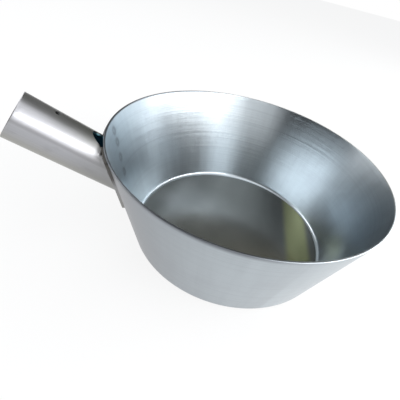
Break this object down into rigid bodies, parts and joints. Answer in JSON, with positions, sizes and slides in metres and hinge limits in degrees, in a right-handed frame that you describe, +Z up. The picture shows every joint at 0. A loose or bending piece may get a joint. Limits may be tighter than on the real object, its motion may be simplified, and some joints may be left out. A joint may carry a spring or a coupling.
{
  "type": "pouring ladle",
  "caption": "Round sheet-metal pouring ladle: a flat-bottomed conical bowl with a short tubular handle socket welded to its wall, pointing up and out.",
  "frame": {"origin": "centre of the bowl's flat underside", "axes": "+Z up along the bowl's axis, the handle socket towards -X and upwards, symmetric about the XZ plane"},
  "size_m": [0.3073, 0.2428, 0.1171],
  "materials": {
    "bowl_steel": "spun, bright",
    "socket_steel": "drawn, bright"
  },
  "bodies": {
    "root": {"bowl": "bowl_steel", "handle_socket": "socket_steel"}
  },
  "joints": []
}
